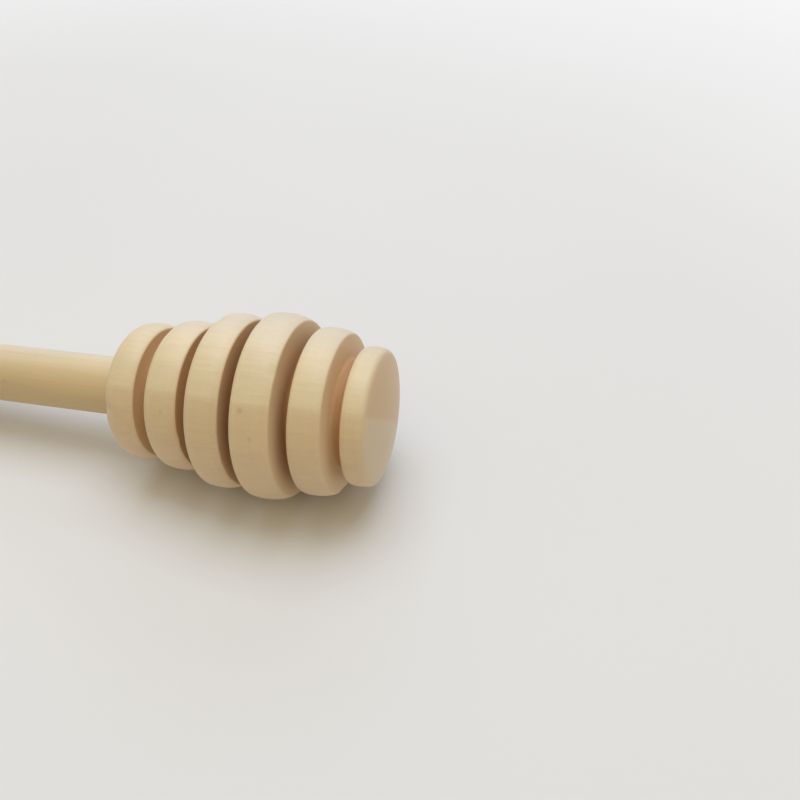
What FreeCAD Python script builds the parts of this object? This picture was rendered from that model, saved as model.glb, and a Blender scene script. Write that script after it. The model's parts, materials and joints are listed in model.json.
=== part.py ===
import FreeCAD, Part
import math
import os

# Honey dipper in millimetres: a turned wooden head with six grooved rings, glued onto a plain round handle.
# It lies on a table as it is left to rest: a ring of the head and the handle's free end touch the table, so
# its long axis leans a little. X runs from the handle to the tip, Z is up, and the origin is on the table
# under the middle of the dipper.

# Head: its rings stand on a round core, which shows as the bottoms of the grooves.
head_diameter = 28.0
core_diameter = 15.5
ring_width = 5.7
groove_width = 2.1
handle_side_round = 2.0
tip_side_drop = 0.4
tip_side_round = 0.4
tip_edge_round = 1.2
dome_radius = 37.0

# The outside of a ring is level up to this share of its width between the rounded edges, and from there
# falls by tip_side_drop towards the tip. Only the last ring, which the dome ends, is level all along.
level_share = 0.5

# The six rings from the handle to the tip: height over the core as a share of the largest ring's,
# width as a share of ring_width, and rounding of the handle-side edge as a share of the first ring's.
ring_height_shares = (0.456, 0.600, 0.888, 1.000, 0.760, 0.408)
ring_width_shares = (0.873, 0.904, 0.893, 1.000, 0.828, 0.430)
handle_side_round_shares = (1.000, 0.650, 0.600, 0.450, 0.300, 0.250)

# Handle: a plain round stick, measured from the head to its rounded free end, with a round tenon for the
# head's socket. The shoulder beside the tenon seats on the head.
handle_diameter = 9.2
handle_length = 118.8
handle_end_round = 1.6
tenon_diameter = 8.0
tenon_length = 17.0
tenon_chamfer = 0.6

# Socket in the head, drilled for the tenon, and the glue that fills what is left of it.
glue_gap = 0.1
glue_end_gap = 0.5
drill_point_angle = 118.0

# Straight flats that each rounded edge and the dome are turned in.
round_flat_count = 3
tip_side_flat_count = 1
dome_flat_count = 4

core_radius = core_diameter / 2
handle_radius = handle_diameter / 2
tenon_radius = tenon_diameter / 2
socket_radius = tenon_radius + glue_gap
socket_depth = tenon_length + glue_end_gap
drill_point_depth = socket_depth + socket_radius / math.tan(math.radians(drill_point_angle / 2))
ring_height = head_diameter / 2 - core_radius


def ring_table():
    """The rings with their places along the axis, measured from the head's handle-side face."""
    rings = []
    start = 0
    for height_share, width_share, round_share in zip(
        ring_height_shares, ring_width_shares, handle_side_round_shares
    ):
        end = start + ring_width * width_share
        rings.append({
            "start": start,
            "end": end,
            "radius": core_radius + ring_height * height_share,
            "handle_side_round": handle_side_round * round_share,
        })
        start = end + groove_width
    return rings


def point(along, radius):
    """A point of a half outline: its place along the axis and its distance from the axis."""
    return FreeCAD.Vector(along, 0, radius)


def rounding(centre, radius, first_angle, last_angle, flat_count=round_flat_count):
    """Points along a round stretch of a half outline, between two angles from the axis."""
    turn = (last_angle - first_angle) / flat_count
    angles = [first_angle + turn * step for step in range(flat_count + 1)]
    return [centre + point(radius * math.cos(angle), radius * math.sin(angle)) for angle in angles]


def turned(outline):
    """Closes a half outline and turns it about the axis."""
    face = Part.Face(Part.makePolygon(outline + outline[:1]))
    return face.revolve(FreeCAD.Vector(), FreeCAD.Vector(1, 0, 0), 360)


def handle_side_edge(ring):
    """The rounded edge of a ring that faces the handle."""
    radius = ring["handle_side_round"]
    centre = point(ring["start"] + radius, ring["radius"] - radius)
    return rounding(centre, radius, math.pi, math.pi / 2)


def tip_side(ring):
    """The end of a ring's level part, and the rounded edge that it falls to, which faces the tip."""
    level_start = ring["start"] + ring["handle_side_round"]
    level_end = level_start + (ring["end"] - tip_side_round - level_start) * level_share
    centre = point(ring["end"] - tip_side_round, ring["radius"] - tip_side_drop - tip_side_round)
    edge = rounding(centre, tip_side_round, math.pi / 2, 0, tip_side_flat_count)
    return [point(level_end, ring["radius"])] + edge


def domed_tip(ring):
    """The rounded edge of the last ring and the shallow dome that it runs into, down to the axis."""
    edge_centre = point(ring["end"], ring["radius"] - tip_edge_round)
    reach = math.sqrt((dome_radius - tip_edge_round) ** 2 - edge_centre.z ** 2)
    meeting_angle = math.atan2(edge_centre.z, reach)
    edge = rounding(edge_centre, tip_edge_round, math.pi / 2, meeting_angle)
    dome = rounding(point(edge_centre.x - reach, 0), dome_radius, meeting_angle, 0, dome_flat_count)
    return edge + dome[1:]


def head_outline():
    """The outside of the head's half outline, from the handle-side face to the tip."""
    *grooved_rings, last_ring = ring_table()
    outline = []
    for ring in grooved_rings:
        outline += handle_side_edge(ring) + tip_side(ring)
        outline += [point(ring["end"], core_radius), point(ring["end"] + groove_width, core_radius)]
    return outline + handle_side_edge(last_ring) + domed_tip(last_ring)


def make_dipper_head():
    """The head: socket, rings and grooves in one turned piece."""
    socket = [point(drill_point_depth, 0), point(socket_depth, socket_radius), point(0, socket_radius)]
    return turned(socket + head_outline())


def tenon_outline():
    """The tenon, from its end on the axis to the handle's shoulder."""
    return [
        point(tenon_length, 0),
        point(tenon_length, tenon_radius - tenon_chamfer),
        point(tenon_length - tenon_chamfer, tenon_radius),
        point(0, tenon_radius),
    ]


def handle_end():
    """The rounded edge of the handle's free end."""
    centre = point(handle_end_round - handle_length, handle_radius - handle_end_round)
    return rounding(centre, handle_end_round, math.pi / 2, math.pi)


def make_handle():
    """The handle with its tenon, shoulder and rounded free end."""
    return turned(tenon_outline() + [point(0, handle_radius)] + handle_end() + [point(-handle_length, 0)])


def make_glue_film():
    """The glue that fills the socket round the tenon, level with the shoulder."""
    socket = [point(0, socket_radius), point(socket_depth, socket_radius), point(drill_point_depth, 0)]
    return turned(tenon_outline() + socket)


def resting_lean():
    """The lean of the axis at rest: the steepest line under a ring that clears the handle's free end."""
    slopes = []
    for ring_point in head_outline():
        spans = [ring_point - end_point for end_point in handle_end()]
        slopes.append(min(span.z / span.x for span in spans))
    return math.atan(max(slopes))


def lay_on_table(pieces):
    """Leans the pieces together and sets them on the table, with the origin under the middle of their box."""
    lean = math.degrees(resting_lean())
    for shape in pieces.values():
        shape.rotate(FreeCAD.Vector(), FreeCAD.Vector(0, -1, 0), lean)
    box = Part.Compound(list(pieces.values())).optimalBoundingBox(False, False)
    for shape in pieces.values():
        shape.translate(FreeCAD.Vector(-box.Center.x, -box.Center.y, -box.ZMin))


def main():
    pieces = {
        "dipper_head": make_dipper_head(),
        "handle": make_handle(),
        "glue_film": make_glue_film(),
    }
    lay_on_table(pieces)
    os.makedirs("parts", exist_ok=True)
    for node, shape in pieces.items():
        shape.exportStep(f"parts/{node}.step")


main()
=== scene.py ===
import json
import math
from collections import namedtuple

import bpy
from bpy.props import FloatProperty, FloatVectorProperty, PointerProperty
from mathutils import Matrix, Quaternion, Vector, noise


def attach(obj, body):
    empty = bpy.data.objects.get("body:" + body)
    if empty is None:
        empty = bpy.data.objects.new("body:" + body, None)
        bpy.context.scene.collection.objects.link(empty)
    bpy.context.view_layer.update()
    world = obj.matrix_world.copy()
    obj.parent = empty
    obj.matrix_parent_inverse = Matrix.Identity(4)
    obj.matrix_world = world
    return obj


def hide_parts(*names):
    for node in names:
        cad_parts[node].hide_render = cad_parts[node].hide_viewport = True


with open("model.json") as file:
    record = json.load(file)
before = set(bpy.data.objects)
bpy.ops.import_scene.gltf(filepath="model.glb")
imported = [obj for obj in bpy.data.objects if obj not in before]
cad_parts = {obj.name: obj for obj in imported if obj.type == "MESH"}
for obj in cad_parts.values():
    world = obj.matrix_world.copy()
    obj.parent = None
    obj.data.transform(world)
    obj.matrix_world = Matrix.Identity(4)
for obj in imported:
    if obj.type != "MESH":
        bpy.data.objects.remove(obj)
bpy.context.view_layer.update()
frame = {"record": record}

bl_info = {
    "name": "Honey Dipper",
    "version": (1, 0, 0),
    "blender": (4, 5, 0),
    "location": "3D View > Sidebar > Dipper",
    "description": "Dresses a turned wooden honey dipper and sets it on a pale studio floor",
    "category": "Add Mesh",
}

MM = 0.001

# The handle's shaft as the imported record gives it: its straight wall, from the head to the rounded end.
shaft = frame["record"]["mounts"][0]
shaft_radius = shaft["dims"]["r_mm"] * MM
shaft_length = shaft["dims"]["length_mm"] * MM
to_tip = -Vector(shaft["axis"]).normalized()
head_face = Vector(shaft["pos_m"]) + to_tip * shaft_length / 2

# The turning axis: X runs to the tip from the head's handle-side face, Y is level, Z is the upper side.
level = Vector((0.0, 1.0, 0.0))
turning_axis = Matrix((to_tip, level, to_tip.cross(level))).transposed().to_4x4()
turning_axis.translation = head_face

# The six rings from the handle to the tip: height over the core as a share of the largest ring's, width as
# a share of the ring width, and rounding of the handle-side edge as a share of the first ring's.
ring_height_shares = (0.456, 0.600, 0.888, 1.000, 0.760, 0.408)
ring_width_shares = (0.873, 0.904, 0.893, 1.000, 0.828, 0.430)
handle_side_round_shares = (1.000, 0.650, 0.600, 0.450, 0.300, 0.250)

# How far the outside of each ring falls towards the tip, as a share of the tip-side drop. The last ring,
# which the dome ends, does not fall.
tip_side_drop_shares = (1.0, 1.0, 1.5, 1.6, 1.1, 0.0)

# How finely the pieces are turned: steps round the axis, and steps in each stretch of a half outline.
ROUND_STEPS = 256
EDGE_STEPS = 7
LAND_STEPS = 9
FACE_STEPS = 7
CORNER_STEPS = 6
DOME_STEPS = 14
SHAFT_STEPS = 32

# Where the top of a ring's land lies, as a share of the way from its handle side to its tip side.
LAND_TOP_SHARE = 0.35

# How much painted light and shade a groove gets: any share paints light on a wall, fully from a tenth up,
# and more paints dark shade over it. At the top of a wall as high as the next ring, at the foot of a wall
# in a shallow groove, and at the bottom. A wall gets more painted shade the more the next ring rises over
# it, by these shares of the rise at its top and its foot.
GROOVE_TOP_SHARE = 0.36
GROOVE_FOOT_SHARE = 0.20
GROOVE_BOTTOM_SHARE = 0.90
TOP_RISE_SHARE = 1.4
FOOT_RISE_SHARE = 0.3

# How much painted shade the handle gets right beside the head.
JOINT_SHADE_SHARE = 0.035

# A point of a half outline: its place along the axis, its distance from the axis, how much it belongs to
# a worn edge, how much painted light and shade it gets in the grooves and beside the head, and how
# squarely the fibres end there.
OutlinePoint = namedtuple("OutlinePoint", "along radius edge groove end", defaults=(0.0, 0.0, 0.0))

# A small dent in an edge: its place along the axis, its angle from the upper side, its width and depth.
Nick = namedtuple("Nick", "along angle width depth")

# A dark speck in the wood: its place along the axis, its angle from the upper side, its reach and how
# dark it is.
Speck = namedtuple("Speck", "along angle reach strength")

head_nicks = (
    Nick(0.8 * MM, -63.0, 0.8 * MM, 0.35 * MM),
    Nick(12.2 * MM, -80.0, 0.8 * MM, 0.18 * MM),
    Nick(14.9 * MM, 20.0, 1.2 * MM, 0.20 * MM),
    Nick(27.2 * MM, -25.0, 0.9 * MM, 0.16 * MM),
    Nick(29.7 * MM, 118.0, 1.0 * MM, 0.22 * MM),
    Nick(33.9 * MM, -150.0, 1.1 * MM, 0.20 * MM),
)

head_specks = (
    Speck(23.4 * MM, -48.6, 0.70 * MM, 0.36),
    Speck(24.9 * MM, -64.2, 0.60 * MM, 0.20),
    Speck(10.3 * MM, -57.7, 0.55 * MM, 0.20),
    # A darker spot low on the first ring's edge, next to the handle.
    Speck(1.3 * MM, -61.0, 0.60 * MM, 0.60),
    Speck(17.4 * MM, 35.0, 0.30 * MM, 0.45),
    Speck(31.6 * MM, 140.0, 0.32 * MM, 0.50),
    Speck(2.9 * MM, 95.0, 0.30 * MM, 0.40),
)

handle_specks = (
    Speck(-21.0 * MM, -60.0, 0.30 * MM, 0.45),
    Speck(-58.0 * MM, 40.0, 0.35 * MM, 0.50),
    Speck(-92.0 * MM, 150.0, 0.30 * MM, 0.45),
)


def length(name, description, default, least=0.0):
    """A size in metres that a user may change."""
    return FloatProperty(
        name=name, description=description, default=default, min=least, precision=5,
        subtype="DISTANCE", unit="LENGTH",
    )


def angle(name, description, default):
    """An angle that a user may change, given here in degrees."""
    return FloatProperty(
        name=name, description=description, default=math.radians(default),
        subtype="ANGLE", unit="ROTATION",
    )


def tone(name, description, default):
    """A colour that a user may change."""
    return FloatVectorProperty(
        name=name, description=description, default=default, min=0.0, max=1.0, size=3, subtype="COLOR"
    )


def place(name, description, default):
    """A place in metres that a user may change."""
    return FloatVectorProperty(
        name=name, description=description, default=default, size=3, subtype="TRANSLATION", unit="LENGTH"
    )


def power(name, description, default):
    """The power of a lamp, which a user may change."""
    return FloatProperty(
        name=name, description=description, default=default, min=0.0, subtype="POWER", unit="POWER"
    )


class DipperHeadSettings(bpy.types.PropertyGroup):
    """Sizes and tones of the turned head."""

    head_diameter: length("Head diameter", "Across the largest ring", 28.0 * MM)
    core_diameter: length("Core diameter", "Across the bottoms of the grooves", 15.5 * MM)
    ring_width: length("Ring width", "Along the axis, of the widest ring", 5.7 * MM)
    groove_width: length("Groove width", "Between two rings", 2.1 * MM)
    handle_side_round: length("Handle-side rounding", "Of the first ring's edge", 2.0 * MM)
    tip_side_round: length("Tip-side rounding", "Of the edges that face the tip", 0.4 * MM)
    tip_edge_round: length("Tip edge rounding", "Where the last ring runs into the dome", 1.2 * MM)
    dome_radius: length("Dome radius", "Of the shallow dome at the tip", 37.0 * MM)
    groove_corner: length("Groove corner", "Rounding that the tool leaves in the grooves", 0.80 * MM)
    groove_taper: length("Groove taper", "How far a groove's wall leans in towards its foot", 0.20 * MM)
    land_crown: length("Land crown", "From the top of a ring's outside down to its handle side", 0.05 * MM)
    tip_side_drop: length("Tip-side drop", "From the top of a ring's outside to its tip side", 0.40 * MM)
    sanding: length("Sanding", "What sanding took off the rings", 0.02 * MM)
    edge_wear: length("Edge wear", "The most that wear has taken off an edge", 0.12 * MM)
    socket_diameter: length("Socket diameter", "Of the hole that takes the handle", 8.2 * MM)
    socket_depth: length("Socket depth", "To the drill's shoulder", 17.5 * MM)
    drill_point: angle("Drill point", "Angle of the socket's cone", 118.0)

    # Partly the wood's own palest outer layers, partly a painted sheen: this tone lies on the upper back
    # side, where it whitens the tops as light from above and behind would.
    outer_wood_and_sheen_tone: tone("Outermost wood", "Just under the bark", (0.785, 0.67, 0.495))
    pale_tone: tone("Pale wood", "Outer growth layers", (0.775, 0.615, 0.36))
    warm_tone: tone("Warm wood", "Inner growth layers", (0.71, 0.522, 0.283))
    inner_tone: tone("Innermost wood", "Near the pith", (0.80, 0.585, 0.34))
    line_tone: tone("Growth line", "Dense late wood between two layers", (0.55, 0.37, 0.19))
    # The head's end grain is darker in the upper layers and lighter in the lower ones, partly the wood's
    # own tone and partly painted shade on the upper dome and painted light from the floor on the lower
    # dome.
    pale_end_tone: tone("Pale end grain", "Outer layers, cut across", (0.70, 0.465, 0.265))
    warm_end_tone: tone("Warm end grain", "Inner layers, cut across", (0.75, 0.595, 0.40))
    # Painted light on the groove walls: lighter and more golden than the end grain, standing in for light
    # thrown into the grooves.
    wall_light_joint_shade_tone: tone("Groove wall", "Fresh cut wood at the top of a groove", (0.825, 0.595, 0.34))
    # Painted shade in the grooves: a dark red-brown that stands in for shade and warm light thrown between
    # the walls, deepest in the deep grooves.
    groove_tone: tone("Groove wood", "Unsanded wood in the grooves", (0.43, 0.215, 0.07))
    speck_tone: tone("Speck", "Small dark marks", (0.36, 0.21, 0.10))
    layer_angle: angle("Layer angle", "Turn of the growth layers about the axis", 51.0)
    layer_offset: length("Layer offset", "From the axis to the pale wood", -0.3 * MM, least=-5 * MM)
    layer_blend: length("Layer blend", "Over which warm wood turns into pale wood", 1.0 * MM)
    pith_distance: length("Pith distance", "From the axis to the middle of the tree", 90.0 * MM)
    line_spacing: length("Growth line spacing", "Between two growth lines", 3.4 * MM)


class HandleSettings(bpy.types.PropertyGroup):
    """Sizes and tones of the handle."""

    shaft_diameter: length("Shaft diameter", "Across the stick", 2 * shaft_radius)
    shaft_length: length("Shaft length", "From the head to the end rounding", shaft_length)
    end_round: length("End rounding", "Of the free end's edge", 1.6 * MM)
    tenon_diameter: length("Tenon diameter", "Of the hidden end in the head", 8.0 * MM)
    tenon_length: length("Tenon length", "Of the hidden end in the head", 17.0 * MM)
    tenon_chamfer: length("Tenon chamfer", "On the hidden end", 0.6 * MM)
    # How far from the head the painted shade on the handle reaches.
    joint_shade_reach: length("Joint reach", "How far from the head sandpaper stayed off", 6.0 * MM)
    edge_wear: length("Edge wear", "The most that wear has taken off an edge", 0.06 * MM)

    # Partly the wood's own palest outer layers, partly a painted sheen that whitens the handle's top.
    outer_wood_and_sheen_tone: tone("Outermost wood", "Just under the bark", (0.78, 0.665, 0.49))
    pale_tone: tone("Pale wood", "Outer growth layers", (0.745, 0.60, 0.37))
    warm_tone: tone("Warm wood", "Inner growth layers", (0.685, 0.50, 0.25))
    inner_tone: tone("Innermost wood", "Near the pith", (0.67, 0.485, 0.24))
    line_tone: tone("Growth line", "Dense late wood between two layers", (0.50, 0.32, 0.15))
    pale_end_tone: tone("Pale end grain", "Outer layers, cut across", (0.62, 0.43, 0.26))
    warm_end_tone: tone("Warm end grain", "Inner layers, cut across", (0.58, 0.40, 0.23))
    # Painted shade on the handle beside the head, warmed as by light thrown back from the head.
    wall_light_joint_shade_tone: tone("Joint wood", "Less sanded wood beside the head", (0.60, 0.37, 0.15))
    groove_tone: tone("Tenon wood", "Unsanded wood in the head", (0.50, 0.27, 0.125))
    speck_tone: tone("Speck", "Small dark marks", (0.36, 0.21, 0.10))
    layer_angle: angle("Layer angle", "Turn of the growth layers about the axis", 70.0)
    layer_offset: length("Layer offset", "From the axis to the pale wood", 0.3 * MM, least=-5 * MM)
    layer_blend: length("Layer blend", "Over which warm wood turns into pale wood", 4.5 * MM)
    pith_distance: length("Pith distance", "From the axis to the middle of the tree", 60.0 * MM)
    line_spacing: length("Growth line spacing", "Between two growth lines", 2.1 * MM)


class GlueSettings(bpy.types.PropertyGroup):
    """Tones of the glue in the socket."""

    clear_tone: tone("Clear glue", "Where the film is thin", (0.72, 0.58, 0.32))
    cloudy_tone: tone("Cloudy glue", "Where the film is thick", (0.78, 0.68, 0.46))


class StageSettings(bpy.types.PropertyGroup):
    """Floor, light and camera."""

    floor_tone: tone("Floor", "Pale studio floor", (0.80, 0.79, 0.78))
    far_tone: tone("Far floor", "What the camera sees far from the dipper", (0.95, 0.95, 0.955))
    floor_size: length("Floor size", "Side of the square floor", 8.0)
    fade_start: length("Fade start", "Where the floor starts to turn into the backdrop", 0.12)
    fade_end: length("Fade end", "Where the floor has turned into the backdrop", 0.36)
    sky_strength: FloatProperty(
        name="Soft light", description="Strength of the light above", default=1.13, min=0.0
    )
    sky_front_share: FloatProperty(
        name="Front share", description="How much stronger the soft light is in front", default=0.30,
        min=0.0, max=1.0, subtype="FACTOR",
    )
    sky_tone: tone("Soft light tone", "Of the light above", (1.0, 0.885, 0.63))
    lamp_tone: tone("Lamp tone", "Of both lamps", (0.65, 0.76, 0.985))
    lamp_aim: place("Lamp aim", "What the lamps point at", (0.03, 0.0, 0.01))
    key_power: power("Key power", "Of the large lamp", 4.85)
    key_place: place("Key place", "Of the large lamp", (0.06, 0.22, 0.87))
    key_width: length("Key width", "Of the large lamp", 0.80)
    key_height: length("Key height", "Of the large lamp", 0.60)
    window_power: power("Window power", "Of the low lamp behind", 1.6)
    window_place: place("Window place", "Of the low lamp behind", (0.0, 0.76, 0.54))
    window_width: length("Window width", "Of the low lamp behind", 0.90)
    window_height: length("Window height", "Of the low lamp behind", 0.36)
    camera_place: place("Camera place", "Of the lens", (0.100458, -0.075482, 0.097377))
    camera_azimuth: angle("Camera azimuth", "Turn round the dipper", 14.449)
    camera_elevation: angle("Camera elevation", "Above the horizon", 45.0)
    camera_roll: angle("Camera roll", "About the line of sight", 1.038)
    camera_lens: FloatProperty(
        name="Lens", description="Focal length on a 36 mm sensor", default=35.1, min=1.0, unit="CAMERA"
    )


class DipperSettings(bpy.types.PropertyGroup):
    """All that a user may change."""

    head: PointerProperty(type=DipperHeadSettings)
    handle: PointerProperty(type=HandleSettings)
    glue: PointerProperty(type=GlueSettings)
    stage: PointerProperty(type=StageSettings)


def straight(start, end, steps):
    """Points from start to end, without start itself."""
    return [
        OutlinePoint(*(first + (last - first) * step / steps for first, last in zip(start, end)))
        for step in range(1, steps + 1)
    ]


def arc(centre, radius, first_angle, last_angle, steps, **marks):
    """Points of a round stretch about a centre (along, radius), between two angles from the axis."""
    points = []
    for step in range(steps + 1):
        turn = first_angle + (last_angle - first_angle) * step / steps
        spot = (centre[0] + radius * math.cos(turn), centre[1] + radius * math.sin(turn))
        points.append(OutlinePoint(*spot, end=abs(math.cos(turn)), **marks))
    return points


def into_groove(points, share=GROOVE_TOP_SHARE):
    """The points of a ring's rounded edge, which turn from the land to the groove's painted light and
    shade.
    """
    return [point._replace(groove=share * point.end ** 8) for point in points]


def ring_table(head):
    """The rings with their places along the axis, measured from the head's handle-side face."""
    core_radius = head.core_diameter / 2
    ring_height = head.head_diameter / 2 - core_radius
    rings = []
    start = 0.0
    for height_share, width_share, round_share, drop_share in zip(
        ring_height_shares, ring_width_shares, handle_side_round_shares, tip_side_drop_shares
    ):
        end = start + head.ring_width * width_share
        handle_side_round = head.handle_side_round * round_share
        drop = head.tip_side_drop * drop_share
        fall = (1 - LAND_TOP_SHARE) * (end - head.tip_side_round - start - handle_side_round)
        rings.append({
            "start": start,
            "end": end,
            "height_share": height_share,
            "radius": core_radius + ring_height * height_share - head.sanding,
            "handle_side_round": handle_side_round,
            "tip_side_drop": drop,
            "tip_side_lean": math.atan(2 * drop / fall),
        })
        start = end + head.groove_width
    return rings


def land(head, ring, end, tip_side_drop):
    """The outside of a ring up to its tip-side edge, a little lower towards its sides."""
    start = ring["start"] + ring["handle_side_round"]
    points = []
    for step in range(1, LAND_STEPS):
        share = step / LAND_STEPS
        if share < LAND_TOP_SHARE:
            drop = head.land_crown * (1 - share / LAND_TOP_SHARE) ** 2
        else:
            drop = tip_side_drop * ((share - LAND_TOP_SHARE) / (1 - LAND_TOP_SHARE)) ** 2
        points.append(OutlinePoint(start + (end - start) * share, ring["radius"] - drop))
    return points


def handle_side_edge(head, ring):
    """The rounded edge of a ring that faces the handle."""
    radius = ring["handle_side_round"]
    centre = (ring["start"] + radius, ring["radius"] - head.land_crown - radius)
    return arc(centre, radius, math.pi, math.pi / 2, EDGE_STEPS, edge=1.0)


def tip_side_edge(head, ring, following):
    """The rounded edge of a ring that faces the tip, with less painted shade if it stands over the next
    ring.
    """
    radius = head.tip_side_round
    first_angle = math.pi / 2 - ring["tip_side_lean"]
    top = ring["radius"] - ring["tip_side_drop"]
    centre = (ring["end"] - radius, top - radius * math.sin(first_angle))
    rise = following["height_share"] - ring["height_share"]
    share = max(0.1, GROOVE_TOP_SHARE + TOP_RISE_SHARE * rise)
    return into_groove(arc(centre, radius, first_angle, 0.0, EDGE_STEPS, edge=1.0), share)


def groove(head, ring, following):
    """A groove from the edge of one ring, down and along the core, and up to the edge of the next."""
    core_radius = head.core_diameter / 2
    corner = head.groove_corner
    floor_start = (ring["end"] + head.groove_taper + corner, core_radius + corner)
    floor_end = (following["start"] - head.groove_taper - corner, core_radius + corner)
    wall_top = tip_side_edge(head, ring, following)[-1]
    depth_share = min(ring["height_share"], following["height_share"])
    rise = following["height_share"] - ring["height_share"]
    # Deeper grooves, and walls that the next ring rises over, get more painted shade at the foot.
    foot_share = min(1.0, GROOVE_FOOT_SHARE + depth_share ** 2 + FOOT_RISE_SHARE * rise)
    wall_foot = OutlinePoint(floor_start[0] - corner, floor_start[1], groove=foot_share, end=1.0)
    next_foot = OutlinePoint(floor_end[0] + corner, floor_end[1], groove=foot_share, end=1.0)
    next_top_radius = following["radius"] - head.land_crown - following["handle_side_round"]
    next_top = OutlinePoint(following["start"], next_top_radius, groove=GROOVE_TOP_SHARE, end=1.0)
    bottom = arc(floor_start, corner, math.pi, math.pi * 1.5, CORNER_STEPS)[1:]
    bottom += arc(floor_end, corner, math.pi * 1.5, math.pi * 2, CORNER_STEPS)
    points = straight(wall_top, wall_foot, FACE_STEPS)
    for point in bottom:
        # The painted shade grows towards the bottom of the groove.
        share = foot_share + (GROOVE_BOTTOM_SHARE - foot_share) * (1.0 - point.end ** 2)
        points.append(point._replace(groove=share, end=1.0))
    return points + straight(next_foot, next_top, FACE_STEPS)[:-1]


def domed_tip(head, ring):
    """The rounded edge of the last ring and the shallow dome that it runs into, down to the axis."""
    edge_radius = head.tip_edge_round
    edge_centre = (ring["end"], ring["radius"] - head.land_crown - edge_radius)
    reach = math.sqrt((head.dome_radius - edge_radius) ** 2 - edge_centre[1] ** 2)
    meeting_angle = math.atan2(edge_centre[1], reach)
    edge = arc(edge_centre, edge_radius, math.pi / 2, meeting_angle, EDGE_STEPS, edge=0.6)
    dome = arc((edge_centre[0] - reach, 0.0), head.dome_radius, meeting_angle, 0.0, DOME_STEPS)
    return edge + dome[1:]


def drill_point_depth(head):
    """How deep the drill's point went into the head."""
    return head.socket_depth + head.socket_diameter / 2 / math.tan(head.drill_point / 2)


def socket_outline(head):
    """The socket, from the drill's point on the axis to its mouth in the handle-side face."""
    radius = head.socket_diameter / 2
    point = OutlinePoint(drill_point_depth(head), 0.0)
    shoulder = OutlinePoint(head.socket_depth, radius)
    return [point, shoulder] + straight(shoulder, OutlinePoint(0.0, radius), FACE_STEPS)


def head_outline(head):
    """The head's half outline: socket, handle-side face, rings and grooves, and dome."""
    rings = ring_table(head)
    first, last = rings[0], rings[-1]
    outline = socket_outline(head)
    face_top = OutlinePoint(0.0, first["radius"] - head.land_crown - first["handle_side_round"], end=1.0)
    outline += straight(outline[-1], face_top, FACE_STEPS)[:-1]
    outline += handle_side_edge(head, first)
    for ring, following in zip(rings, rings[1:]):
        tip_side = tip_side_edge(head, ring, following)
        outline += land(head, ring, tip_side[0].along, ring["tip_side_drop"]) + tip_side
        outline += groove(head, ring, following) + into_groove(handle_side_edge(head, following))
    outline += land(head, last, last["end"], head.land_crown)
    return outline + domed_tip(head, last)


def tenon_outline(handle):
    """The tenon from the handle's shoulder to its end on the axis."""
    radius = handle.tenon_diameter / 2
    chamfer = handle.tenon_chamfer
    root = OutlinePoint(0.0, radius, groove=1.0)
    wall = straight(root, root._replace(along=handle.tenon_length - chamfer), FACE_STEPS)
    tip = root._replace(along=handle.tenon_length, radius=radius - chamfer)
    return [root] + wall + [tip, tip._replace(radius=0.0)]


def handle_outline(handle):
    """The handle's half outline from the middle of its free end to the end of its tenon."""
    radius = handle.shaft_diameter / 2
    end_round = handle.end_round
    centre = (-handle.shaft_length, radius - end_round)
    middle = OutlinePoint(centre[0] - end_round, 0.0, end=1.0)
    rim = arc(centre, end_round, math.pi, math.pi / 2, EDGE_STEPS, edge=1.0)
    outline = [middle] + straight(middle, rim[0], FACE_STEPS)[:-1] + rim
    joint = OutlinePoint(-handle.joint_shade_reach, radius)
    outline += straight(OutlinePoint(centre[0], radius), joint, SHAFT_STEPS)
    # Painted shade on the handle, growing towards the head.
    outline += straight(joint, OutlinePoint(0.0, radius, groove=JOINT_SHADE_SHARE), FACE_STEPS)
    return outline + tenon_outline(handle)


def glue_outline(head, handle):
    """The glue between the tenon and the socket, from the drill's point round to the tenon's end."""
    socket = socket_outline(head)
    return socket + tenon_outline(handle)


def worn(wear, point, turn):
    """How far wear has taken an edge in: a little more on some stretches than on others."""
    spot = Vector((point.along / (9 * MM), 1.6 * math.sin(turn), 1.6 * math.cos(turn)))
    return wear * point.edge * (0.5 + 0.5 * noise.noise(spot))


def nicked(nicks, point, turn):
    """How far small dents reach in at a point."""
    depth = 0.0
    for nick in nicks:
        gap = (turn - math.radians(nick.angle) + math.pi) % (2 * math.pi) - math.pi
        distance = math.hypot(point.along - nick.along, point.radius * gap) / nick.width
        depth += nick.depth * math.exp(-distance * distance)
    return depth


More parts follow.
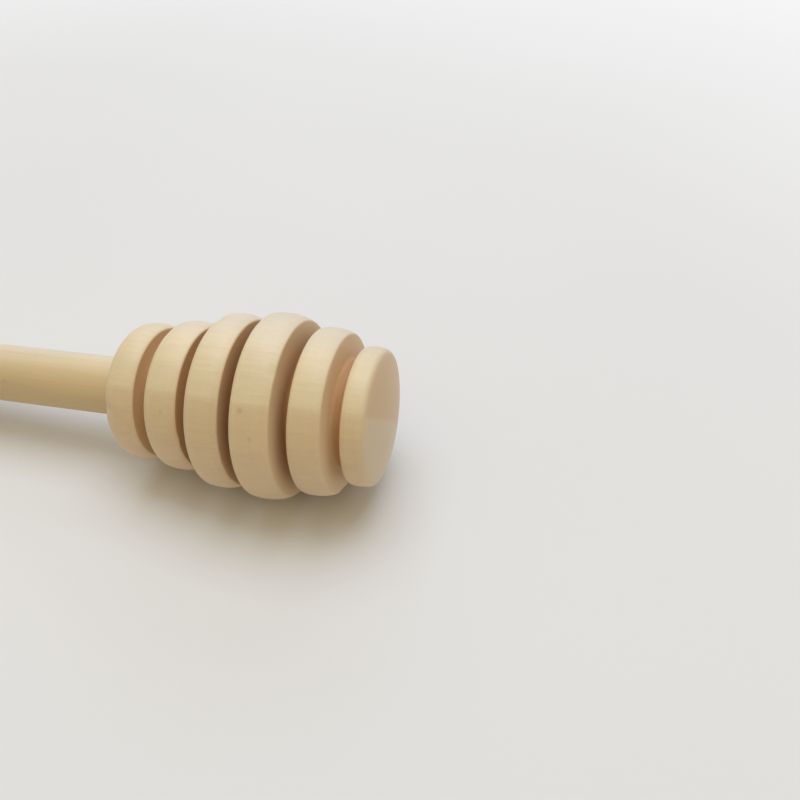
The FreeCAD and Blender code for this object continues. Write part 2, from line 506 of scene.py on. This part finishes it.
def turned_piece(name, outline, wear=0.0, nicks=()):
    """Turns a half outline, which starts and ends on the axis, into one closed piece in its place."""
    rows = outline[1:-1]
    grain = [Vector((outline[0].along, 0.0, 0.0))]
    marks = [outline[0]]
    for point in rows:
        for step in range(ROUND_STEPS):
            turn = 2 * math.pi * step / ROUND_STEPS
            radius = point.radius - worn(wear, point, turn) - nicked(nicks, point, turn)
            grain.append(Vector((point.along, radius * math.sin(turn), radius * math.cos(turn))))
            marks.append(point)
    grain.append(Vector((outline[-1].along, 0.0, 0.0)))
    marks.append(outline[-1])
    faces = []
    last_row = 1 + (len(rows) - 1) * ROUND_STEPS
    for step in range(ROUND_STEPS):
        following = (step + 1) % ROUND_STEPS
        faces.append((0, 1 + step, 1 + following))
        for row in range(1, last_row, ROUND_STEPS):
            next_row = row + ROUND_STEPS
            faces.append((row + step, next_row + step, next_row + following, row + following))
        faces.append((last_row + step, len(grain) - 1, last_row + following))
    mesh = bpy.data.meshes.new(name)
    mesh.from_pydata([turning_axis @ spot for spot in grain], [], faces)
    mesh.shade_smooth()
    grain_layer = mesh.attributes.new("grain", "FLOAT_VECTOR", "POINT")
    grain_layer.data.foreach_set("vector", [number for spot in grain for number in spot])
    for mark in ("edge", "groove", "end"):
        layer = mesh.attributes.new(mark, "FLOAT", "POINT")
        layer.data.foreach_set("value", [getattr(point, mark) for point in marks])
    piece = bpy.data.objects.new(name, mesh)
    bpy.context.scene.collection.objects.link(piece)
    return piece


def add_node(tree, kind, inputs, **options):
    """Adds a node, sets its options, and fills its inputs with values or with other nodes' outputs."""
    node = tree.nodes.new(kind)
    for option, value in options.items():
        setattr(node, option, value)
    for socket, value in inputs.items():
        if isinstance(value, bpy.types.NodeSocket):
            tree.links.new(value, node.inputs[socket])
        else:
            node.inputs[socket].default_value = value
    return node


def calculate(tree, operation, first, second=0.0, third=0.0):
    """The result of one sum."""
    inputs = {0: first, 1: second, 2: third}
    return add_node(tree, "ShaderNodeMath", inputs, operation=operation).outputs[0]


def stepped(tree, value, low, high, to_low=0.0, to_high=1.0):
    """A value taken smoothly from one range to another."""
    inputs = {"Value": value, "From Min": low, "From Max": high, "To Min": to_low, "To Max": to_high}
    node = add_node(tree, "ShaderNodeMapRange", inputs, interpolation_type="SMOOTHSTEP")
    return node.outputs["Result"]


def blended(tree, factor, first, second):
    """A colour between two others."""
    inputs = {"Factor": factor, 6: first, 7: second}
    return add_node(tree, "ShaderNodeMix", inputs, data_type="RGBA").outputs[2]


def opaque(colour):
    """A colour with the fourth number that nodes take."""
    return (*colour, 1.0)


def read_mark(tree, name):
    """A number that the turned mesh carries at each point."""
    return add_node(tree, "ShaderNodeAttribute", {}, attribute_name=name).outputs["Fac"]


def stretched_noise(tree, grain, along, across, detail=2.0, roughness=0.5):
    """Cloudy noise drawn out along the grain, in cycles to the metre along it and across it."""
    scaled = add_node(
        tree, "ShaderNodeVectorMath", {0: grain, 1: (along, across, across)}, operation="MULTIPLY"
    ).outputs[0]
    inputs = {"Vector": scaled, "Scale": 1.0, "Detail": detail, "Roughness": roughness}
    return add_node(tree, "ShaderNodeTexNoise", inputs).outputs[0]


def split_grain(tree, grain):
    """A place in the wood, as its place along the axis and its place in the section across it."""
    parts = add_node(tree, "ShaderNodeSeparateXYZ", {0: grain}).outputs
    section = add_node(tree, "ShaderNodeCombineXYZ", {1: parts[1], 2: parts[2]}).outputs[0]
    return parts[0], section


def distance_from(tree, places, spot):
    """How far each place lies from one spot."""
    node = add_node(tree, "ShaderNodeVectorMath", {0: places, 1: spot}, operation="DISTANCE")
    return node.outputs["Value"]


def growth_layer(tree, grain, wood):
    """Distance from the growth layer that passes through the axis, in metres, with a natural wobble."""
    section = split_grain(tree, grain)[1]
    towards_pith = Vector((0.0, -math.sin(wood.layer_angle), -math.cos(wood.layer_angle)))
    from_pith = distance_from(tree, section, towards_pith * wood.pith_distance)
    cloud = stretched_noise(tree, grain, 14.0, 110.0)
    wobble = calculate(tree, "MULTIPLY_ADD", cloud, 1.4 * MM, -0.7 * MM)
    distance = calculate(tree, "SUBTRACT", from_pith, wood.pith_distance)
    return calculate(tree, "ADD", distance, wobble)


def lathe_marks(tree, grain):
    """Fine lines round the axis, as the turning tool and the sandpaper leave them."""
    along, section = split_grain(tree, grain)
    radius = add_node(tree, "ShaderNodeVectorMath", {0: section}, operation="LENGTH").outputs["Value"]
    profile = add_node(tree, "ShaderNodeCombineXYZ", {0: along, 1: radius}).outputs[0]
    return add_node(tree, "ShaderNodeTexNoise", {"Vector": profile, "Scale": 2600.0}).outputs[0]


def speck_strength(tree, grain, specks, surface_radius):
    """How dark the wood is where it has a speck."""
    total = None
    for speck in specks:
        turn = math.radians(speck.angle)
        radius = surface_radius(speck.along)
        spot = (speck.along, radius * math.sin(turn), radius * math.cos(turn))
        distance = distance_from(tree, grain, spot)
        dark = stepped(tree, distance, speck.reach, 0.0, 0.0, speck.strength)
        total = dark if total is None else calculate(tree, "MAXIMUM", total, dark)
    return total


def wood_material(name, wood, specks, surface_radius, reach):
    """Fine pale wood up to its reach from the axis, with layers, fibres, pores, end grain and specks, a
    painted sheen on the tops, paler edges partly a painted highlight, and painted light and shade in the
    grooves and beside the head.
    """
    material = bpy.data.materials.new(name)
    material.use_nodes = True
    tree = material.node_tree
    shader = tree.nodes["Principled BSDF"]
    grain = add_node(tree, "ShaderNodeAttribute", {}, attribute_name="grain").outputs["Vector"]
    edge = read_mark(tree, "edge")
    groove_light_and_shade = read_mark(tree, "groove")
    end = stepped(tree, read_mark(tree, "end"), 0.55, 0.98)

    layer = growth_layer(tree, grain, wood)
    blend_start = wood.layer_offset - wood.layer_blend / 2
    zone = stepped(tree, layer, blend_start, blend_start + wood.layer_blend)
    # The outermost layers lie on the upper back side; their paler tone there is partly a painted sheen on
    # the tops.
    outermost_and_sheen = stepped(tree, layer, 0.3 * reach, 0.85 * reach)
    innermost = stepped(tree, layer, -0.1 * reach, -0.7 * reach)
    phase = calculate(tree, "FRACT", calculate(tree, "DIVIDE", layer, wood.line_spacing))
    late_wood = calculate(tree, "POWER", phase, 7.0)
    fibres = stretched_noise(tree, grain, 45.0, 1900.0, detail=3.0, roughness=0.6)
    pores = stepped(tree, stretched_noise(tree, grain, 330.0, 5200.0, detail=1.0), 0.62, 0.74)
    clouds = stretched_noise(tree, grain, 30.0, 90.0)
    lathe = lathe_marks(tree, grain)

    inner_colour = blended(tree, innermost, opaque(wood.warm_tone), opaque(wood.inner_tone))
    outer_and_sheen_colour = blended(tree, outermost_and_sheen, opaque(wood.pale_tone), opaque(wood.outer_wood_and_sheen_tone))
    colour = blended(tree, zone, inner_colour, outer_and_sheen_colour)
    colour = blended(tree, calculate(tree, "MULTIPLY", late_wood, 0.11), colour, opaque(wood.line_tone))
    fibre_light = stepped(tree, fibres, 0.25, 0.75, 0.97, 1.025)
    light = calculate(tree, "MULTIPLY", fibre_light, stepped(tree, clouds, 0.3, 0.7, 0.95, 1.04))
    light = calculate(tree, "MULTIPLY", light, stepped(tree, lathe, 0.3, 0.7, 0.993, 1.007))
    colour = add_node(tree, "ShaderNodeHueSaturation", {"Value": light, "Color": colour}).outputs[0]
    colour = blended(tree, calculate(tree, "MULTIPLY", pores, 0.14), colour, opaque(wood.line_tone))
    end_colour = blended(tree, zone, opaque(wood.warm_end_tone), opaque(wood.pale_end_tone))
    colour = blended(tree, calculate(tree, "MULTIPLY", end, 0.80), colour, end_colour)
    # Painted light on the head's grooves, and painted shade on the handle beside the head.
    wall_light_joint_shade = stepped(tree, groove_light_and_shade, 0.0, 0.1, 0.0, 0.85)
    colour = blended(tree, wall_light_joint_shade, colour, opaque(wood.wall_light_joint_shade_tone))
    # Painted shade in the grooves, darker where the mark is higher.
    painted_groove_shade = stepped(tree, groove_light_and_shade, 0.1, 0.9, 0.0, 0.95)
    colour = blended(tree, painted_groove_shade, colour, opaque(wood.groove_tone))
    # Worn edges a little paler; on the rounded rims this is also a painted highlight.
    colour = blended(tree, calculate(tree, "MULTIPLY", edge, 0.20), colour, opaque(wood.pale_tone))
    dark = speck_strength(tree, grain, specks, surface_radius)
    colour = blended(tree, dark, colour, opaque(wood.speck_tone))

    roughness = calculate(tree, "MULTIPLY_ADD", fibres, 0.22, 0.38)
    roughness = calculate(tree, "MULTIPLY_ADD", end, 0.10, roughness)
    height = calculate(tree, "MULTIPLY_ADD", pores, -0.8, fibres)
    height = calculate(tree, "MULTIPLY_ADD", lathe, 0.3, height)
    height = calculate(tree, "MULTIPLY_ADD", dark, -0.6, height)
    bump = add_node(tree, "ShaderNodeBump", {"Strength": 0.25, "Distance": 0.06 * MM, "Height": height})
    tree.links.new(colour, shader.inputs["Base Color"])
    tree.links.new(roughness, shader.inputs["Roughness"])
    tree.links.new(bump.outputs[0], shader.inputs["Normal"])
    shader.inputs["Specular IOR Level"].default_value = 0.7
    shader.inputs["Sheen Weight"].default_value = 0.25
    shader.inputs["Sheen Roughness"].default_value = 0.3
    return material


def glue_material(glue):
    """Hard clear glue, a little cloudy, with small bubbles."""
    material = bpy.data.materials.new("set_glue")
    material.use_nodes = True
    tree = material.node_tree
    shader = tree.nodes["Principled BSDF"]
    grain = add_node(tree, "ShaderNodeAttribute", {}, attribute_name="grain").outputs["Vector"]
    clouds = stretched_noise(tree, grain, 300.0, 300.0)
    cells = {"Vector": grain, "Scale": 1400.0}
    bubbles = add_node(tree, "ShaderNodeTexVoronoi", cells).outputs["Distance"]
    colour = blended(tree, clouds, opaque(glue.clear_tone), opaque(glue.cloudy_tone))
    bump = add_node(tree, "ShaderNodeBump", {"Strength": 0.3, "Distance": 0.05 * MM, "Height": bubbles})
    tree.links.new(colour, shader.inputs["Base Color"])
    tree.links.new(stepped(tree, clouds, 0.2, 0.8, 0.18, 0.36), shader.inputs["Roughness"])
    tree.links.new(bump.outputs[0], shader.inputs["Normal"])
    return material


def hand_over(piece, material, node):
    """Finishes a piece and puts it in the place of its solid."""
    piece.data.materials.append(material)
    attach(piece, "root")
    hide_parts(node)


class DIPPER_OT_turn_head(bpy.types.Operator):
    """Turns the grooved head with its socket"""

    bl_idname = "dipper.turn_head"
    bl_label = "Turn head"

    def execute(self, context):
        head = context.scene.dipper.head
        rings = ring_table(head)

        def surface_radius(along):
            return next(ring["radius"] for ring in rings if ring["start"] <= along <= ring["end"])

        piece = turned_piece("turned_head", head_outline(head), head.edge_wear, head_nicks)
        material = wood_material("head_wood", head, head_specks, surface_radius, head.head_diameter / 2)
        hand_over(piece, material, "dipper_head")
        return {"FINISHED"}


class DIPPER_OT_turn_handle(bpy.types.Operator):
    """Turns the handle with its tenon"""

    bl_idname = "dipper.turn_handle"
    bl_label = "Turn handle"

    def execute(self, context):
        handle = context.scene.dipper.handle
        radius = handle.shaft_diameter / 2
        piece = turned_piece("turned_handle", handle_outline(handle), handle.edge_wear)
        material = wood_material("handle_wood", handle, handle_specks, lambda along: radius, radius)
        hand_over(piece, material, "handle")
        return {"FINISHED"}


class DIPPER_OT_fill_glue(bpy.types.Operator):
    """Fills the socket round the tenon with glue"""

    bl_idname = "dipper.fill_glue"
    bl_label = "Fill glue"

    def execute(self, context):
        settings = context.scene.dipper
        outline = glue_outline(settings.head, settings.handle)
        piece = turned_piece("glue_cup", outline[::-1])
        hand_over(piece, glue_material(settings.glue), "glue_film")
        return {"FINISHED"}


def floor_material(stage):
    """Pale matt floor, which the camera sees turn into an even backdrop far from the dipper."""
    material = bpy.data.materials.new("studio_floor")
    material.use_nodes = True
    tree = material.node_tree
    shader = tree.nodes["Principled BSDF"]
    spot = add_node(tree, "ShaderNodeTexCoord", {}).outputs["Object"]
    cloud = stretched_noise(tree, spot, 6.0, 6.0)
    tinted = {"Value": stepped(tree, cloud, 0.2, 0.8, 0.98, 1.02), "Color": opaque(stage.floor_tone)}
    colour = add_node(tree, "ShaderNodeHueSaturation", tinted).outputs[0]
    tree.links.new(colour, shader.inputs["Base Color"])
    shader.inputs["Roughness"].default_value = 0.9
    shader.inputs["Specular IOR Level"].default_value = 0.2
    far = add_node(tree, "ShaderNodeVectorMath", {0: spot}, operation="LENGTH").outputs["Value"]
    fade = stepped(tree, far, stage.fade_start, stage.fade_end)
    fade = calculate(tree, "MULTIPLY", fade, seen_directly(tree))
    backdrop = add_node(tree, "ShaderNodeEmission", {"Color": opaque(stage.far_tone)})
    mixed = mixed_shaders(tree, fade, shader, backdrop)
    tree.links.new(mixed, tree.nodes["Material Output"].inputs["Surface"])
    return material


def seen_directly(tree):
    """One where the camera looks straight at a surface, or sees it mirrored or through glass."""
    path = add_node(tree, "ShaderNodeLightPath", {}).outputs
    mirrored = calculate(tree, "MAXIMUM", path["Is Camera Ray"], path["Is Glossy Ray"])
    return calculate(tree, "MAXIMUM", mirrored, path["Is Transmission Ray"])


def mixed_shaders(tree, factor, first, second):
    """What two shaders give together."""
    inputs = {0: factor, 1: first.outputs[0], 2: second.outputs[0]}
    return add_node(tree, "ShaderNodeMixShader", inputs).outputs[0]


def lay_floor(stage):
    """A large level floor under the dipper."""
    half = stage.floor_size / 2
    corners = [(-half, -half, 0.0), (half, -half, 0.0), (half, half, 0.0), (-half, half, 0.0)]
    mesh = bpy.data.meshes.new("studio_floor")
    mesh.from_pydata(corners, [], [(0, 1, 2, 3)])
    mesh.materials.append(floor_material(stage))
    floor = bpy.data.objects.new("studio_floor", mesh)
    bpy.context.scene.collection.objects.link(floor)


def light_sky(scene, stage):
    """Soft light that fades from overhead to the horizon. The camera sees a pale backdrop instead."""
    world = bpy.data.worlds.new("studio_sky")
    world.use_nodes = True
    tree = world.node_tree
    soft = tree.nodes["Background"]
    soft.inputs["Color"].default_value = opaque(stage.sky_tone)
    towards = add_node(tree, "ShaderNodeTexCoord", {}).outputs["Generated"]
    parts = add_node(tree, "ShaderNodeSeparateXYZ", {0: towards}).outputs
    overhead = calculate(tree, "MULTIPLY", parts["Z"], parts["Z"])
    front = calculate(tree, "MULTIPLY_ADD", parts["Y"], -stage.sky_front_share, 1.0)
    spread = calculate(tree, "MULTIPLY", overhead, front)
    strength = calculate(tree, "MULTIPLY", spread, stage.sky_strength)
    tree.links.new(strength, soft.inputs["Strength"])
    backdrop = add_node(tree, "ShaderNodeBackground", {"Color": opaque(stage.far_tone)})
    mixed = mixed_shaders(tree, seen_directly(tree), soft, backdrop)
    tree.links.new(mixed, tree.nodes["World Output"].inputs["Surface"])
    scene.world = world


def hang_lamp(scene, stage, name, spot, size, energy):
    """A large soft lamp, turned towards the dipper."""
    lamp = bpy.data.lights.new(name, "AREA")
    lamp.shape = "RECTANGLE"
    lamp.size, lamp.size_y = size
    lamp.energy = energy
    lamp.color = stage.lamp_tone
    holder = bpy.data.objects.new(name, lamp)
    holder.location = spot
    aim = Vector(stage.lamp_aim) - Vector(spot)
    holder.rotation_euler = aim.to_track_quat("-Z", "Y").to_euler()
    scene.collection.objects.link(holder)


def set_camera(scene, stage):
    """The camera, aimed by its turn round the dipper, its height over the horizon and its roll."""
    azimuth, elevation = stage.camera_azimuth, stage.camera_elevation
    flat = math.cos(elevation)
    sight = Vector((-math.sin(azimuth) * flat, math.cos(azimuth) * flat, -math.sin(elevation)))
    lens = bpy.data.cameras.new("camera")
    lens.lens = stage.camera_lens
    lens.sensor_width = 36.0
    lens.clip_start = 1 * MM
    camera = bpy.data.objects.new("camera", lens)
    camera.location = stage.camera_place
    upright = sight.to_track_quat("-Z", "Y")
    camera.rotation_euler = (Quaternion(sight, stage.camera_roll) @ upright).to_euler()
    scene.collection.objects.link(camera)
    scene.camera = camera


class DIPPER_OT_set_stage(bpy.types.Operator):
    """Lays the floor and sets the light and the camera"""

    bl_idname = "dipper.set_stage"
    bl_label = "Set stage"

    def execute(self, context):
        scene = context.scene
        stage = scene.dipper.stage
        lay_floor(stage)
        light_sky(scene, stage)
        key_size = (stage.key_width, stage.key_height)
        hang_lamp(scene, stage, "key_lamp", stage.key_place, key_size, stage.key_power)
        window_size = (stage.window_width, stage.window_height)
        hang_lamp(scene, stage, "window_lamp", stage.window_place, window_size, stage.window_power)
        set_camera(scene, stage)
        scene.view_settings.view_transform = "Standard"
        return {"FINISHED"}


class DIPPER_PT_sidebar(bpy.types.Panel):
    """Sizes, tones and steps of the dipper"""

    bl_idname = "DIPPER_PT_sidebar"
    bl_label = "Honey Dipper"
    bl_space_type = "VIEW_3D"
    bl_region_type = "UI"
    bl_category = "Dipper"

    def draw(self, context):
        settings = context.scene.dipper
        steps = (
            (DIPPER_OT_turn_head, settings.head),
            (DIPPER_OT_turn_handle, settings.handle),
            (DIPPER_OT_fill_glue, settings.glue),
            (DIPPER_OT_set_stage, settings.stage),
        )
        for operator, group in steps:
            box = self.layout.box()
            for name in group.__annotations__:
                box.prop(group, name)
            box.operator(operator.bl_idname)


classes = (
    DipperHeadSettings,
    HandleSettings,
    GlueSettings,
    StageSettings,
    DipperSettings,
    DIPPER_OT_turn_head,
    DIPPER_OT_turn_handle,
    DIPPER_OT_fill_glue,
    DIPPER_OT_set_stage,
    DIPPER_PT_sidebar,
)


def register():
    for cls in classes:
        bpy.utils.register_class(cls)
    bpy.types.Scene.dipper = PointerProperty(type=DipperSettings)


def unregister():
    del bpy.types.Scene.dipper
    for cls in reversed(classes):
        bpy.utils.unregister_class(cls)


def main():
    register()
    bpy.ops.dipper.turn_head()
    bpy.ops.dipper.turn_handle()
    bpy.ops.dipper.fill_glue()
    bpy.ops.dipper.set_stage()


if __name__ == "__main__":
    main()
